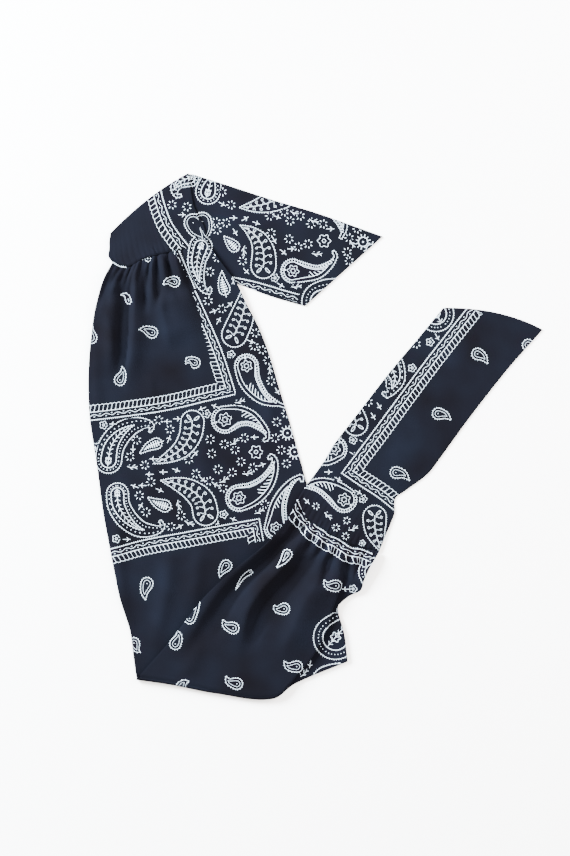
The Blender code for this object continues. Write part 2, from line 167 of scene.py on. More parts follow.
# The creases that can be seen in the photograph, each as a line of its pixels. Height is in metres, up
# for a ridge and down for a valley. Before and behind are how far it falls off to the left and to the
# right of the line, in pixels, as one goes along it.
Crease = namedtuple("Crease", "height before behind line")
CREASE_START = 0.25         # shares of a crease's line over which it comes up and dies away
CREASE_END = 0.35
LOWER_CREASES = (
    Crease(-0.0030, 3.0, 5.0, ((127, 266), (124, 272), (119, 280), (115, 288))),
    Crease(-0.0040, 2.4, 9.0, ((132, 263), (130.5, 291), (129, 311), (127, 342), (124, 368), (121, 388))),
    Crease(0.0046, 11.0, 3.6, ((138, 262), (135.5, 297), (134, 330), (131, 357), (127, 398))),
    Crease(0.0036, 9.0, 9.0, ((119, 282), (116, 310), (113, 342), (111, 380))),
    Crease(0.0024, 4.0, 4.0, ((121, 266), (113, 283), (106, 302))),
    Crease(0.0028, 3.8, 3.8, ((151.5, 256), (152, 282), (152.5, 310))),
    Crease(0.0020, 3.8, 3.8, ((162, 252), (164, 275), (167, 300))),
    Crease(0.0022, 3.8, 3.8, ((171.5, 250), (178, 268), (184, 290))),
    Crease(-0.0030, 3.5, 4.0, ((146, 258), (148, 271), (145, 291), (146, 318))),
    Crease(-0.0034, 4.0, 3.0, ((155, 256), (156, 281), (158.5, 297), (158, 310))),
    Crease(-0.0026, 3.0, 3.0, ((165, 252), (169.5, 270), (173, 284))),
    Crease(0.0040, 19.0, 6.0, ((163, 286), (163, 306), (168, 330), (174, 352))),
    Crease(-0.0030, 3.0, 3.0, ((178, 250), (185, 268), (193, 286), (203, 310), (208, 330))),
    Crease(0.0018, 5.0, 8.0, ((101, 296), (108, 325), (112, 350), (114, 372))),
    Crease(0.0012, 7.0, 5.0, ((98, 330), (96, 370), (97, 405), (100, 440))),
    Crease(0.0010, 5.0, 7.0, ((150, 372), (152, 398), (158, 418))),
    Crease(0.0018, 9.0, 9.0, ((196, 378), (204, 410), (206, 450), (200, 490))),
    Crease(0.0011, 8.0, 6.0, ((150, 440), (152, 475), (146, 510))),
    Crease(0.0018, 8.0, 8.0, ((250, 330), (262, 370), (270, 410), (268, 450))),
    Crease(0.0022, 7.0, 7.0, ((124, 470), (122, 510), (118, 545), (122, 590), (134, 640))),
    Crease(0.0020, 8.0, 8.0, ((170, 540), (168, 580), (160, 620), (152, 660))),
    Crease(0.0018, 8.0, 8.0, ((200, 545), (196, 580), (190, 610))),
)
UPPER_CREASES = (
    Crease(-0.0050, 5.0, 6.0, ((290, 532), (278, 548), (262, 566), (240, 588), (226, 610), (214, 645))),
    Crease(-0.0050, 5.0, 8.0, ((312, 540), (303, 560), (286, 586), (268, 606), (258, 626), (252, 655))),
    Crease(-0.0036, 5.0, 5.0, ((331, 552), (327, 572), (318, 590))),
    Crease(-0.0030, 4.0, 4.0, ((350, 560), (346, 576), (338, 590))),
    Crease(0.0052, 6.0, 9.0, ((302, 536), (286, 562), (264, 585), (250, 606), (243, 630), (238, 660))),
    Crease(0.0050, 17.0, 8.0, ((336, 562), (314, 590), (298, 618), (282, 664))),
    Crease(0.0046, 6.5, 12.0, ((288, 520), (264, 545), (242, 566), (220, 588), (198, 620), (176, 658))),
    Crease(0.0012, 8.0, 8.0, ((205, 640), (190, 665), (176, 686))),
)

# How far the gathered seams hang towards the panel, as shares of GATHERED_WIDTH.
SeamPoint = namedtuple("SeamPoint", "across first second")
SEAM_SAG = (
    SeamPoint(0.00, 0.000, 0.000),
    SeamPoint(0.08, 0.050, 0.065),
    SeamPoint(0.17, 0.072, 0.100),
    SeamPoint(0.30, 0.030, 0.125),
    SeamPoint(0.50, 0.010, 0.120),
    SeamPoint(0.70, 0.006, 0.095),
    SeamPoint(0.85, 0.003, 0.050),
    SeamPoint(1.00, 0.000, 0.000),
)


def smooth(table, key, column, at):
    """Reads a table's column at places between its rows, along a smooth curve through them."""
    x = np.array([getattr(row, key) for row in table])
    y = np.array([getattr(row, column) for row in table])
    step = np.diff(x)
    secant = np.diff(y) / step
    slope = np.concatenate((secant[:1], np.zeros(len(x) - 2), secant[-1:]))
    before, after = secant[:-1], secant[1:]
    steady = before * after > 0
    slope[1:-1][steady] = (2 * before * after)[steady] / (before + after)[steady]
    at = np.clip(at, x[0], x[-1])
    index = np.clip(np.searchsorted(x, at, side="right") - 1, 0, len(x) - 2)
    f = (at - x[index]) / step[index]
    return (
        y[index] + (y[index + 1] - y[index]) * f * f * (3 - 2 * f)
        + slope[index] * step[index] * f * (1 - f) ** 2
        - slope[index + 1] * step[index] * f * f * (1 - f)
    )


def ramp(low, high, value):
    """Goes smoothly from 0 at low to 1 at high."""
    f = np.clip((value - low) / (high - low), 0.0, 1.0)
    return f * f * (3 - 2 * f)


class Run:
    """A stretch of cloth that points one way on the table: its start, its heading and its side.

    A run that is sewn to another one starts along that one's side, and turns to its own.
    """

    def __init__(self, start, heading, right_side, sewn_to=None):
        self.start = np.array(start)
        self.ahead = np.array((math.cos(heading), math.sin(heading)))
        self.side = np.array((-self.ahead[1], self.ahead[0])) * right_side
        self.seam_side = sewn_to.side if sewn_to else self.side

    def point(self, along, across, turned=1.0):
        along, across, turned = np.broadcast_arrays(along, across, turned)
        side = self.seam_side + (self.side - self.seam_side) * turned[..., None]
        return self.start + self.ahead * along[..., None] + side * across[..., None]


LOWER = Run((0.0, 0.0), LOWER_HEADING, 1)
UPPER = Run(LOWER.point(LOWER_RUN, 0.0), UPPER_HEADING, -1)
RISE = Run(LOWER.start, LOWER_HEADING + math.pi, -1, sewn_to=LOWER)
TAIL = Run(RISE.point(TIE_RISE, 0.0), TAIL_HEADING, 1)
TIE = Run(UPPER.point(UPPER_RUN, 0.0), TIE_HEADING, -1, sewn_to=UPPER)


def opened(share):
    """Half of the panel's width where the gathers have opened by a share."""
    return (GATHERED_WIDTH + (BAND_WIDTH - GATHERED_WIDTH) * share) / 2


def sag(seam, across):
    """How far a gathered seam hangs towards the panel at a share of its width."""
    return GATHERED_WIDTH * smooth(SEAM_SAG, "across", seam, across)


def gathers(valleys, from_seam, across):
    """Height of the pleats, as a share of the gather height, with the valleys cut into them."""
    height = np.ones(np.broadcast(from_seam, across).shape)
    for valley in valleys:
        f = np.minimum(from_seam / valley.reach, 1.0)
        centre = (
            valley.at_seam * (1 - f) * (1 - 2 * f)
            + valley.halfway * 4 * f * (1 - f)
            + valley.at_end * f * (2 * f - 1)
        )
        offset = (across - centre) / (valley.width * (1 + f))
        height -= valley.depth * (1 - ramp(0.6, 1.0, f)) * np.exp(-offset * offset)
    return np.maximum(height, 0.0)


def puckers(distance, across, phase):
    """Height of the fine puckers that the gathering thread leaves, close to the seam."""
    share = np.exp(-distance / PUCKER_REACH) * ramp(0.0, PUCKER_START, distance)
    wander = 1.3 * np.sin(7.0 * across + phase) + 0.9 * np.sin(17.0 * across + 2.0 * phase)
    return PUCKER_HEIGHT * share * (0.5 + 0.5 * np.sin(2 * math.pi * PUCKER_COUNT * across + wander))


def photo_pixels(points):
    """The pixels of the photograph at which points of the laid-out cloth are seen."""
    return points[..., :2] / (PIXEL, -PIXEL) + FIRST_SEAM_MIDDLE


def smooth_line(places, steps=7):
    """Points close together on a smooth curve through a few places."""
    places = np.array(places, float)
    ends = np.concatenate((places[:1], places, places[-1:]))
    f = np.linspace(0, 1, steps, endpoint=False)[:, None]
    line = [
        b + 0.5 * f * (c - a + f * (2 * a - 5 * b + 4 * c - d + f * (3 * (b - c) + d - a)))
        for a, b, c, d in zip(ends, ends[1:], ends[2:], ends[3:])
    ]
    return np.concatenate(line + [places[-1:]])


def along_line(line, places):
    """How far along a line the point nearest to each place is, and how far aside the place lies."""
    steps = np.diff(line, axis=0)
    lengths = np.linalg.norm(steps, axis=1)
    starts = np.concatenate(((0.0,), np.cumsum(lengths)))
    nearest = np.full(len(places), np.inf)
    along, aside = np.zeros(len(places)), np.zeros(len(places))
    for i, length in enumerate(lengths):
        ahead = steps[i] / length
        offset = places - line[i]
        reach = offset @ ahead
        cross = ahead[0] * offset[:, 1] - ahead[1] * offset[:, 0]
        distance = np.hypot(reach - np.clip(reach, 0, length), cross)
        past_end = (reach < 0) if i == 0 else (reach > length) & (i == len(lengths) - 1)
        closer = distance < nearest
        nearest[closer] = distance[closer]
        along[closer] = (starts[i] + np.where(past_end, reach, np.clip(reach, 0, length)))[closer]
        aside[closer] = np.where(past_end, cross, np.copysign(distance, cross))[closer]
    return along, aside


def creased(plan, creases, share_shown):
    """Height of the creases at points of a plan, in metres."""
    places = photo_pixels(plan).reshape(-1, 2)
    height = np.zeros(len(places))
    for crease in creases:
        along, aside = along_line(smooth_line(crease.line, 4), places)
        length = np.linalg.norm(np.diff(crease.line, axis=0), axis=1).sum()
        fade = ramp(0.0, CREASE_START, along / length) * ramp(0.0, CREASE_END, 1 - along / length)
        fall = aside / np.where(aside < 0, crease.before, crease.behind)
        height += crease.height * fade * np.exp(-fall * fall)
    return height.reshape(plan.shape[:-1]) * share_shown


def with_height(plan, height):
    """Puts a height on each point of a plan."""
    return np.concatenate((plan, height[..., None]), axis=-1)


def lower_surface(at, across):
    """The lower run's middle surface, at shares of its length and of its width."""
    def value(column):
        return smooth(LOWER_SECTIONS, "along", column, at)

    left, right = -opened(value("left_open")), opened(value("right_open"))
    bend = ramp(FOLD_BEND_FROM, 1.0, at) * (smooth(FOLD_LINE, "across", "along", across) - 1)
    hang = sag("first", across) * (1 - ramp(0.0, LOWER_SAG_REACH, at))
    plan = LOWER.point(at * (1 + bend) * LOWER_RUN + hang, left + (right - left) * across)
    level = value("left_level") + (value("right_level") - value("left_level")) * ramp(0.1, 0.9, across)
    flatter = 1 - FLATTER_RIGHT * ramp(0.6, 1.0, across)
    relief = value("gather") * gathers(FIRST_GATHER, at, across) * flatter
    relief = relief * GATHER_HEIGHT + creased(plan, LOWER_CREASES, 1 - ramp(0.9, 1.0, at))
    height = WALL / 2 + level * LAYER + np.maximum(relief, 0.0)
    return with_height(plan, height + puckers(at * LOWER_RUN, across, phase=0.4))


def upper_plan(at, across):
    """Where the upper run's sections lie on the table, as drawn by their table."""
    def value(column):
        return smooth(UPPER_SECTIONS, "at", column, at)

    left = UPPER.point(value("left_along") * UPPER_RUN, -opened(value("left_open")))
    corner = UPPER.point(value("corner_along") * UPPER_RUN, value("corner_across") * BAND_WIDTH)
    right = UPPER.point(value("right_along") * UPPER_RUN, opened(value("right_open")))
    hang = UPPER.ahead * (sag("second", across) * ramp(1 - UPPER_SAG_REACH, 1.0, at))[..., None]
    inner = left + (corner - left) * (across / CORNER)[..., None]
    outer = corner + (right - corner) * ((across - CORNER) / (1 - CORNER))[..., None]
    return np.where((across <= CORNER)[..., None], inner, outer) - hang


def upper_surface(at, across):
    """The upper run's middle surface, with its pleat's step down to the right margin."""
    def value(column):
        return smooth(UPPER_SECTIONS, "at", column, at)

    from_fold = lower_surface(np.ones_like(at), across)[..., :2] - upper_plan(np.zeros_like(at), across)
    plan = upper_plan(at, across) + from_fold * (1 - ramp(0.0, FOLD_BLEND, at))[..., None]
    rise = value("corner_level") - value("left_level")
    inner = value("left_level") + rise * np.minimum(across / CORNER, 1)
    drop = ramp(CORNER, CORNER + PLEAT_STEP, across)
    level = inner + (value("right_level") - inner) * drop
    relief = value("gather") * gathers(SECOND_GATHER, 1 - at, across)
    relief = relief * (1 - drop * (1 - ramp(0.6, 0.9, at)))
    relief = relief * GATHER_HEIGHT + creased(plan, UPPER_CREASES, ramp(0.0, 0.1, at))
    height = WALL / 2 + level * LAYER + np.maximum(relief, 0.0)
    return with_height(plan, height + puckers((1 - at) * UPPER_RUN, across, phase=1.7))


def turned(before, after, side, steps):
    """Rows of a soft round fold between two stacked rows of points, set back to end at their line."""
    places = np.arange(len(before))
    to_right = np.minimum(places + FOLD_SPAN, len(before) - 1)
    to_left = np.maximum(places - FOLD_SPAN, 0)
    ahead = after[to_right] - after[to_left]
    ahead = ahead[:, :2] / np.linalg.norm(ahead[:, :2], axis=1, keepdims=True)
    outward = np.stack((ahead[:, 1], -ahead[:, 0]), axis=1) * side
    radius = (after[:, 2] - before[:, 2]) / 2
    rows = []
    for step in range(steps + 1):
        turn = math.pi * step / steps
        plan = before[:, :2] + outward * (np.abs(radius) * (math.sin(turn) - 1))[:, None]
        rows.append(with_height(plan, before[:, 2] + radius * (1 - math.cos(turn))))
    return np.array(rows)


def stretch(surface, rows, columns):
    """A run's surface as rows of points, from its start to its end."""
    at, across = np.meshgrid(np.linspace(0, 1, rows + 1), np.linspace(0, 1, columns + 1), indexing="ij")
    return surface(at, across)


def cloth_mesh(name, rows):
    """A grid of cloth moved onto its rows of points."""
    columns = rows.shape[1]
    mesh = bpy.data.meshes.new(name)
    sheet = bmesh.new()
    bmesh.ops.create_grid(sheet, x_segments=columns - 1, y_segments=len(rows) - 1, size=0.5)
    for vertex in sheet.verts:
        column = round((vertex.co.x + 0.5) * (columns - 1))
        row = round((vertex.co.y + 0.5) * (len(rows) - 1))
        vertex.co = rows[row, column]
    sheet.to_mesh(mesh)
    sheet.free()
    mesh.shade_smooth()
    lengths = np.linalg.norm(np.diff(rows, axis=0), axis=2).mean(axis=1)
    widths = np.linalg.norm(np.diff(rows, axis=1), axis=2).max(axis=0)
    down = np.concatenate(((0.0,), np.cumsum(lengths)))
    across = np.concatenate(((0.0,), np.cumsum(widths)))
    flat = np.stack(np.broadcast_arrays(across[None, :], down[:, None]), axis=-1).reshape(-1, 2)
    corners = np.empty(len(mesh.loops), int)
    mesh.loops.foreach_get("vertex_index", corners)
    mesh.uv_layers.new(name="flat_cloth").data.foreach_set("uv", flat[corners].ravel())
    return mesh


def sewn_piece(mesh, material, node):
    """Gives a cloth its thickness and rounded edges, and sets it in place of its node."""
    mesh.materials.append(material)
    piece = bpy.data.objects.new("printed_" + node, mesh)
    bpy.context.scene.collection.objects.link(piece)
    wall = piece.modifiers.new("wall", "SOLIDIFY")
    wall.thickness = WALL
    wall.offset = 0.0
    hem = piece.modifiers.new("rounded edge", "BEVEL")
    hem.width = HEM_ROUND
    hem.segments = 2
    hem.limit_method = "ANGLE"
    hem.angle_limit = HEM_ANGLE
    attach(piece, "root")
    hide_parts(node)


lower = stretch(lower_surface, LOWER_ROWS, BAND_COLUMNS)
upper = stretch(upper_surface, UPPER_ROWS, BAND_COLUMNS)
fold = turned(lower[-1], upper[0], 1, FOLD_STEPS)
band_rows = np.concatenate((lower[:-1], fold, upper[1:]))

node_low, node_high = (np.array(corner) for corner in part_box("head_band"))
drawn_low, drawn_high = band_rows.min(axis=(0, 1)), band_rows.max(axis=(0, 1))
IN_PLACE = (node_low + node_high - drawn_low - drawn_high) / 2 * (1, 1, 0)

# The print on the cloth is a traditional bandana pattern, white on navy: strips of paisleys, sprays and
# small flowers, and plain squares inside a frame, with small paisleys dotted over them. Each figure is
# placed at the pixel of the photograph where it lies, and the material draws it there.
MILLIMETRES = 1000 * PIXEL
PAISLEYS = ("flower", "leaf", "hooked", "drop", "ditsy")
FLOWERS = ("ring", "pentagon", "sun", "bird", "sprig")
KINDS = {name: number + 1 for number, name in enumerate(PAISLEYS + FLOWERS + ("frame",))}
HOOK_TIP = 1.3              # radius of a hooked paisley's rounded end, in millimetres
TEETH = 2.0                 # how far past its outline a figure may draw, in millimetres
FRAME_DEPTH = 14.6          # width of the frame round a plain square, in millimetres


class Paisley:
    """A paisley: a round head that tapers along its spine to a tip. The spine starts in the head."""

    def __init__(self, fill, radius, taper, *spine):
        self.kind = KINDS[fill]
        self.line = smooth_line(spine) * MILLIMETRES
        self.radius = radius * MILLIMETRES
        self.taper = taper
        steps = np.diff(self.line, axis=0)
        self.length = np.linalg.norm(steps, axis=1).sum()
        turning = steps[:-1, 0] * steps[1:, 1] - steps[:-1, 1] * steps[1:, 0]
        self.hollow = 1.0 if turning.sum() > 0 else -1.0
        self.tip = HOOK_TIP if fill in ("flower", "hooked") else 0.0
        self.form = (self.radius, self.length, taper)

    def measure(self, places):
        along, aside = along_line(self.line, places * MILLIMETRES)
        return along, aside * self.hollow

    def depth(self, along, aside):
        share = np.clip(along / self.length, 0, 1)
        past = np.minimum(along, 0) + np.maximum(along - self.length, 0)
        width = np.maximum(self.radius * (1 - share ** self.taper), self.tip)
        return width - np.hypot(past, aside)


class Flower:
    """A small flower, bird or sprig round its middle: its radius, count of petals and heading."""

    def __init__(self, name, radius, count, x, y, heading=0.0):
        self.kind = KINDS[name]
        self.middle = np.array((x, y))
        self.radius = radius
        self.turn = math.radians(heading)
        self.form = (radius, count, 0.0)

    def measure(self, places):
        right, down = ((places - self.middle) * MILLIMETRES).T
        cos, sin = math.cos(self.turn), math.sin(self.turn)
        return right * cos + down * sin, down * cos - right * sin

    def depth(self, along, aside):
        return self.radius - TEETH - np.hypot(along, aside)


class FrameSide:
    """One side of a frame, inward from its outer line. A tuck may hide more and more of its depth."""

    def __init__(self, inward, depth, depth_at_end, *outer_line):
        self.kind = KINDS["frame"]
        self.line = smooth_line(outer_line) * MILLIMETRES
        self.length = np.linalg.norm(np.diff(self.line, axis=0), axis=1).sum()
        self.inward = inward
        self.depths = (depth, depth_at_end)
        self.form = (0.0, 0.0, 0.0)

    def measure(self, places):
        along, aside = along_line(self.line, places * MILLIMETRES)
        return along, aside * self.inward

    def shows(self, along, inward):
        depth = np.interp(along, (0, self.length), self.depths)
        return (inward > -TEETH) & (inward < depth) & (along > 0) & (along < self.length)


def framed(sides, middles):
    """Which side of a frame each place belongs to, or -1. Sides that meet are mitred."""
    places = [side.measure(middles) for side in sides]
    owner = np.argmin([inward for _, inward in places], axis=0)
    shown = np.array([side.shows(*place) for side, place in zip(sides, places)])
    return np.where(shown[owner, np.arange(len(middles))], owner, -1)


def lay_print(mesh, rows, stretches):
    """Gives each face of a cloth the figure that it carries, and each corner its place in the figure.

    Each stretch is its first and last row of faces and the chart of what is printed there.
    """
    places = photo_pixels(rows).reshape(-1, 2)
    corners = np.empty(len(mesh.loops), int)
    mesh.loops.foreach_get("vertex_index", corners)
    corners = corners.reshape(-1, 4)
    columns = rows.shape[1] - 1
    place = np.zeros((len(corners), 4, 3))
    form = np.zeros((len(corners), 4, 3))
    for first, last, (frames, figures) in stretches:
        faces = np.arange(first * columns, last * columns)
        middles = places[corners[faces]].mean(axis=1)
        deepest = np.full(len(faces), -TEETH)
        carried = {}
        owner = np.full(len(faces), -1)
        for figure in figures:
            carried[len(carried)] = figure
            depth = figure.depth(*figure.measure(middles))
            wins = depth > deepest
            deepest[wins] = depth[wins]
            owner[wins] = len(carried) - 1
        for sides in frames:
            side = framed(sides, middles)
            owner[side >= 0] = side[side >= 0] + len(carried)
            carried.update({len(carried) + i: figure for i, figure in enumerate(sides)})
        for number, figure in carried.items():
            own = faces[owner == number]
            if len(own):
                along, aside = figure.measure(places[corners[own]].reshape(-1, 2))
                place[own, :, 0] = along.reshape(-1, 4)
                place[own, :, 1] = aside.reshape(-1, 4)
                place[own, :, 2] = figure.kind
                form[own] = figure.form
    for name, values in (("figure_place", place), ("figure_form", form)):
        attribute = mesh.attributes.new(name, "FLOAT_VECTOR", "CORNER")
        attribute.data.foreach_set("vector", values.astype(np.float32).ravel())


def small(form, *places):
    """Several like flowers: each place is x, y and, where it matters, a heading in degrees."""
    return [Flower(*form, *place) for place in places]


def strewn(*rows):
    """The small paisleys of the plain squares: each row is a radius and the points of a spine."""
    return [Paisley("ditsy", radius, STREWN_TAPER, *spine) for radius, *spine in rows]


def full_side(inward, *outer_line):
    """A side of a frame that shows its whole depth."""
    return FrameSide(inward, FRAME_DEPTH, FRAME_DEPTH, *outer_line)


# Each small figure is its name, its radius in millimetres and its count of petals.
RING = ("ring", 4.6, 7)
BIRD = ("bird", 4.4, 0)
SPRIG = ("sprig", 5.4, 0)
PENTAGON = ("pentagon", 4.0, 5)
STAR = ("pentagon", 6.6, 6)
SUN = ("sun", 7.2, 12)
LITTLE_RING = ("ring", 3.8, 7)
LITTLE_SPRIG = ("sprig", 4.6, 0)
LITTLE_PENTAGON = ("pentagon", 3.2, 5)
STREWN_TAPER = 1.5


# The lower run's chart: the upper square with its frame, the strip with its two mirrored rows, the
# lower square's frame, and the strip of large paisleys down the right edge.
UPPER_SQUARE_FRAME = (
    full_side(-1, (80, 421), (92, 420), (126, 416), (167, 410), (208, 400.5), (235.5, 394)),
    FrameSide(-1, 19.0, 2.6, (235.5, 394), (230, 376), (222, 352), (212.5, 329), (203, 308), (195, 291)),
)
LOWER_SQUARE_FRAME = (
    full_side(1, (105, 550), (115, 548), (145, 540), (188, 532), (231, 524), (259, 519)),
    full_side(1, (259, 519), (261, 529), (263, 540)),
)
TUCKED_FRAME = (
    FrameSide(-1, 1.2, 5.0, (195, 289), (187, 270), (178, 249), (174, 240)),
)
SEAM_LINE = (
    FrameSide(1, 0.8, 0.8, (112, 262), (119, 266.5), (127, 267.5)),
)
HEART = (
    Paisley("ditsy", 8.6, 1.7, (193.2, 223), (196, 230), (201, 236), (206, 240)),
    Paisley("ditsy", 8.8, 1.7, (202.3, 221.5), (205, 229), (205.5, 235), (205, 240)),
)
HOOKED_COLUMN = Paisley(
    "hooked", 11.0, 1.2, (201, 247), (197, 262), (198.5, 278), (204, 290), (209.5, 293), (210, 289),
)
LOWER_PRINT = (
    (UPPER_SQUARE_FRAME, LOWER_SQUARE_FRAME, TUCKED_FRAME, SEAM_LINE),
    [
        *HEART,
        HOOKED_COLUMN,
        Paisley("drop", 5.4, 1.6, (224.5, 289.5), (222.5, 281), (222, 271.5)),
        Paisley("leaf", 12.5, 2.4, (234.5, 334.5), (241.5, 318), (246, 300), (247, 280)),
        Paisley("flower", 11.5, 1.7, (246.5, 366), (249, 379), (256, 390.5), (266, 399.5), (284, 406)),
        Paisley(
            "hooked", 13.0, 2.2,
            (108.5, 460), (111, 447), (119, 435), (132, 426), (146, 423.5), (152.5, 426.5), (150.5, 430.5),
        ),
        Paisley(
            "hooked", 10.8, 2.6,
            (117.5, 494), (119, 506), (128, 520), (141, 529), (156, 530), (163, 526), (160.5, 521.5),
        ),
        Paisley("drop", 5.3, 1.6, (156.5, 443.5), (149, 446.5), (139.8, 453.5)),
        Paisley("drop", 5.7, 1.6, (165, 506), (157, 503), (148, 497.3)),
        Paisley("leaf", 11.5, 2.0, (192.5, 422), (190.5, 435), (183, 447.5), (171, 456), (153.5, 463.5)),
        Paisley("leaf", 12.3, 2.2, (205.5, 513), (202, 500), (190.5, 489.5), (176, 483.5), (161, 480.5)),
        Paisley(
            "flower", 13.4, 1.05,
            (225, 419.5), (238, 416), (250, 418), (260, 425), (266.5, 432), (267.5, 438.5), (264.5, 440),
        ),
        Paisley(
            "flower", 12.9, 1.35,
            (239, 498), (252, 494), (264, 485), (272, 472.5), (274.8, 461), (272, 455.5), (269.5, 457.5),
        ),
        Paisley(
            "flower", 11.5, 1.0,
            (276, 528), (278, 507), (284, 492), (293, 480.5), (301, 476), (302, 480),
        ),
        Paisley("flower", 9.0, 1.5, (88, 462), (90, 450), (100, 444)),
        *strewn(
            (5.2, (174.8, 281.8), (168, 281.5), (163.8, 284.6)),
            (5.4, (152.2, 332.6), (145, 329.5), (139.5, 329.8)),
            (5.2, (194.7, 362.7), (189, 360), (186, 363.5)),
            (5.4, (120, 379.9), (123, 373), (122.3, 367)),
            (2.8, (129, 301), (126, 295), (120.5, 295)),
            (2.6, (148, 259), (145, 257), (142, 260)),
            (5.5, (91.5, 338), (91, 330), (93, 326)),
            (5.9, (147, 583.5), (144.5, 592), (145.5, 599.5)),
            (5.4, (226.2, 565.5), (222, 571), (219.8, 577)),
            (5.4, (134, 643), (137, 650), (140, 652)),
        ),
        *small(
            RING,
            (217.4, 258), (210, 272), (232.3, 265.6), (208.2, 301), (222, 309), (255.5, 333), (254, 346),
            (262, 350), (268, 360.5), (270.8, 381), (158.7, 420), (170, 429.3), (136.6, 440), (130, 456.8),
            (145, 465), (188.7, 459.3), (210, 439.3), (211.6, 453.6), (224.4, 444.3), (235, 449.5),
            (244.4, 437.9), (276.6, 422), (275, 438), (281, 450), (286.6, 463.6), (253, 467.5),
            (241, 461.5), (232.3, 472.5), (218, 469.3), (195.9, 473.6), (209.4, 481),
            (223, 487.9), (150.9, 482),
            (139.4, 495.5), (146, 512), (181, 515.5), (171, 526.5), (265, 504.3), (286, 413.5),
        ),
        *small(
            BIRD,
            (225.4, 260, 60), (237, 270, 200), (213.4, 311.5, -20), (229.5, 305, -45), (218.6, 321, -60),
            (250.7, 341.4, 20), (277, 391, 60), (113.7, 424, 180), (168, 421.5, 180), (177, 418.8, 0),
            (168.7, 439.5, -70), (133, 448.6, 90), (154, 458.8, 180), (195, 454, -45), (255, 437.2, 180),
            (261.6, 465, -20), (202.3, 479, 45), (216.5, 485, 200), (150, 474.3, 180), (163.7, 472, 180),
            (176, 470, 20), (143, 485.5, 180), (135, 486.4, 200), (159.4, 490, 25), (140.5, 506.5, -60),
            (179.4, 526.8, -30), (218, 525, -90), (234.4, 519.6, 200), (126.6, 539.3, 0),
            (202.3, 408.6, 160), (215.4, 406.4, 200),
        ),
        *small(
            SPRIG,
            (233.8, 279.5, 90), (270, 369.5, 90), (132.5, 467, 0), (234.4, 442, -40), (247.5, 473.3, -10),
            (224, 480, -35), (178.7, 505, 75), (189.5, 523, 20), (259.4, 511.4, -30), (240, 401.4, -20),
        ),
        *small(PENTAGON, (103.7, 425), (231, 354.6), (206.6, 413.8), (223.7, 514.3), (116.6, 538.6)),
        *small(STAR, (256, 452)),
        *small(SUN, (287.5, 433), (294.6, 452)),
    ],
)

# The upper run's chart: the lower square goes on round the fold with its frame along the second seam,
# and the large paisleys show again on the margin below the pleat.
SEAM_FRAME = (
    full_side(
        1,
        (294, 494), (298.5, 503.5), (303, 512.5), (310.5, 519), (315, 526), (322.5, 530.5),
        (329, 536), (336, 538.5), (344, 543.5), (351, 548), (361, 549.5), (372, 554),
    ),
)
UPPER_PRINT = (
    (SEAM_FRAME,),
    [
        *strewn(
            (5.5, (175.6, 643.4), (179, 636), (177.5, 630)),
            (5.5, (233.6, 627.6), (226, 625), (223, 619.4)),
            (5.5, (284.2, 608.6), (277, 609), (274, 605)),
            (5.5, (335.6, 585.4), (327.5, 585), (323.7, 580)),
        ),
        Paisley("ditsy", 4.2, 1.3, (287.5, 553.8), (283, 561), (277, 567)),
        Paisley("ditsy", 2.2, 1.3, (250, 572), (243, 577), (236, 589)),
        *strewn(
            (5.5, (296.7, 666), (288.5, 666), (284, 660.5)),
            (5.5, (237, 683.2), (229, 681), (226.2, 675.7)),
            (5.2, (180, 688), (184, 682), (189, 681)),
            (5.2, (190, 618), (196, 608), (200.5, 600.5)),
        ),
        Paisley("hooked", 14.0, 1.8, (373, 572), (380, 590), (384, 610)),
        Paisley("hooked", 22.0, 1.5, (335.5, 637), (350, 620), (366, 600)),
        Paisley("hooked", 21.0, 2.0, (331, 686), (350, 680), (366, 690)),
        *small(PENTAGON, (353, 588.7)),
        *small(BIRD, (346, 589, 180), (337, 612, 90), (310, 664, 100)),
        *small(SPRIG, (304, 673, -50)),
    ],
)


class Value:
    """A number in a material's node tree. Each sum made with it adds one Math node."""

    def __init__(self, socket):
        self.socket = socket

    def __add__(self, other):
        return sums("ADD", self, other)

    def __sub__(self, other):
        return sums("SUBTRACT", self, other)

    def __rsub__(self, other):
        return sums("SUBTRACT", other, self)

    def __mul__(self, other):
        return sums("MULTIPLY", self, other)

    def __truediv__(self, other):
        return sums("DIVIDE", self, other)

    def __rtruediv__(self, other):
        return sums("DIVIDE", other, self)

    def __pow__(self, other):
        return sums("POWER", self, other)

    def __mod__(self, other):
        return sums("FLOORED_MODULO", self, other)

    def __lt__(self, other):
        return sums("LESS_THAN", self, other)

    def __gt__(self, other):
        return sums("GREATER_THAN", self, other)

    def __abs__(self):
        return sums("ABSOLUTE", self)


def sums(operation, *values):
    """The result of one new Math node, in the node tree that its values come from."""
    tree = next(value.socket.id_data for value in values if isinstance(value, Value))
    node = tree.nodes.new("ShaderNodeMath")
    node.operation = operation
    for socket, value in zip(node.inputs, values):
        if isinstance(value, Value):
            tree.links.new(value.socket, socket)
        else:
            socket.default_value = value
    return Value(node.outputs[0])


def near(value, target, reach):
    """1 where a value is within reach of its target."""
    return sums("COMPARE", value, target, reach)


def scaled(value, factor, added):
    return sums("MULTIPLY_ADD", value, factor, added)


def product(*values):
    total = values[0]
    for value in values[1:]:
        total = total * value
    return total


def either(*masks):
    total = masks[0]
    for mask in masks[1:]:
        total = sums("MAXIMUM", total, mask)
    return total


def distance(ahead, aside):
    squares = aside * aside
    return sums("SQRT", scaled(ahead, ahead, squares))


def is_kind(kind, name):
    return near(kind, KINDS[name], 0.4)


def beat(value, pitch, share):
    """1 on a share of each pitch of a repeating mark."""
    return value % pitch < pitch * share


